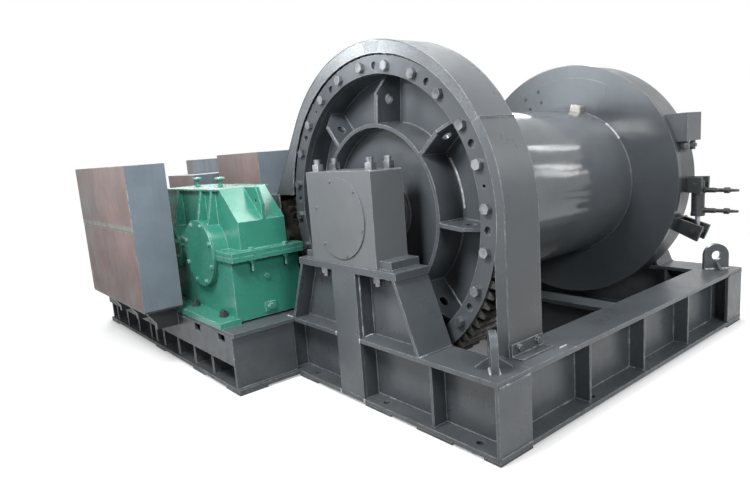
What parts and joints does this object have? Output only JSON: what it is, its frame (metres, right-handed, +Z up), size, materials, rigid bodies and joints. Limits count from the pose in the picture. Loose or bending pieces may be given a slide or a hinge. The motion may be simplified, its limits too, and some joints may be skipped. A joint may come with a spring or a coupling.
{
  "type": "hydraulic drum winch",
  "caption": "Single-drum hydraulic winch on a welded beam frame, with guarded open ring gear, reduction gearbox, band brake on the far rim and sheet-metal hoods over the hydraulic drive",
  "frame": {"origin": "centre of the main frame's four end anchor holes, on the floor under the sole pads", "axes": "+X along the drum axis from the ring gear end to the brake end, +Y towards the gearbox and hydraulic drive, +Z up"},
  "size_m": [3.525, 4.4428, 2.048],
  "materials": {
    "frame_paint": "semi-gloss dark grey machinery paint over welds",
    "pad_steel": "dull dark steel, paint worn off",
    "block_paint": "semi-gloss grey paint",
    "bolt_steel": "bare steel",
    "bearing_steel": "ground bearing steel",
    "drum_paint": "semi-gloss grey paint with roll marks",
    "gear_steel": "cut steel teeth under a thin grey coat",
    "wedge_steel": "bare bright steel",
    "brake_paint": "semi-gloss grey paint",
    "lining": "woven friction lining",
    "fitting_steel": "plated steel",
    "guard_paint": "semi-gloss grey paint on rolled sheet",
    "green_paint": "gloss green machine paint",
    "dark_bolts": "blackened steel",
    "drive_steel": "grey paint",
    "hood_paint": "satin brown-grey sheet paint",
    "cabinet_paint": "light grey sheet paint"
  },
  "bodies": {
    "frame": {"side_beam_right": "frame_paint", "side_beam_left": "frame_paint", "front_beam": "frame_paint", "rear_beam": "frame_paint", "inner_beam": "frame_paint", "sole_pads": "pad_steel", "lifting_lugs": "frame_paint", "front_pedestal": "frame_paint", "rear_pedestal": "frame_paint", "front_bearing_block": "block_paint", "rear_bearing_block": "block_paint", "block_bolts": "bolt_steel", "bearing_covers": "block_paint", "bearing_outer_rings": "bearing_steel", "brake_band_upper": "brake_paint", "brake_lining_upper": "lining", "band_hinge_pin": "bolt_steel", "brake_anchor_box": "brake_paint", "brake_cylinder": "brake_paint", "brake_hose_fittings": "fitting_steel", "guard_arch": "guard_paint", "guard_leg": "guard_paint", "guard_pinion_box": "guard_paint", "guard_feet": "guard_paint", "gearbox_lower": "green_paint", "gearbox_upper": "green_paint", "gearbox_covers": "green_paint", "gearbox_joint_bolts": "green_paint", "gearbox_foot_bolts": "dark_bolts", "gearbox_fittings": "green_paint", "gearbox_bearings": "bearing_steel", "outboard_bearing": "drive_steel", "gearbox_seat": "frame_paint", "valve_base": "frame_paint", "motor_base": "frame_paint", "hydraulic_motor": "drive_steel", "motor_bracket": "frame_paint", "valve_hood": "hood_paint", "valve_rack": "cabinet_paint", "motor_hood": "hood_paint", "oil_tank": "hood_paint", "control_cabinet": "cabinet_paint"},
    "drum": {"drum_shaft": "bearing_steel", "drum_barrel": "drum_paint", "gear_end_disc": "drum_paint", "ring_gear": "gear_steel", "ring_gear_bolts": "bolt_steel", "brake_end_disc": "drum_paint", "rope_anchor": "wedge_steel", "bearing_inner_rings": "bearing_steel", "bearing_rollers": "bearing_steel"},
    "pinion_line": {"output_shaft": "bearing_steel", "output_wheel": "gear_steel", "open_pinion": "gear_steel"},
    "input_line": {"input_pinion_shaft": "gear_steel", "shaft_coupling": "drive_steel"},
    "lower_band": {"brake_band_lower": "brake_paint", "brake_lining_lower": "lining", "brake_rod_pin": "bolt_steel"},
    "rod": {"brake_rod": "bolt_steel"}
  },
  "joints": [
    {"name": "drum_spin", "type": "hinge", "parent": "frame", "child": "drum", "pos_m": [0, 0, 1.08], "axis": [1, 0, 0], "continuous": true},
    {"name": "pinion_spin", "type": "hinge", "parent": "frame", "child": "pinion_line", "pos_m": [0, 1.14512, 0.84], "axis": [1, 0, 0], "continuous": true},
    {"name": "input_spin", "type": "hinge", "parent": "frame", "child": "input_line", "pos_m": [0, 1.64512, 0.84], "axis": [1, 0, 0], "continuous": true},
    {"name": "band_hinge", "type": "hinge", "parent": "frame", "child": "lower_band", "pos_m": [0.987, 0.9098, 1.08], "axis": [1, 0, 0], "range_deg": [0, 0.35]},
    {"name": "rod_slide", "type": "slide", "parent": "frame", "child": "rod", "axis": [0, 0, -1], "range_m": [0, 0.012]}
  ],
  "couplings": [
    {"joint": "pinion_spin", "follows": "drum_spin", "ratio": -3.5},
    {"joint": "input_spin", "follows": "drum_spin", "ratio": 7.4375},
    {"joint": "rod_slide", "follows": "band_hinge", "m_per_rad": 1.8476}
  ]
}
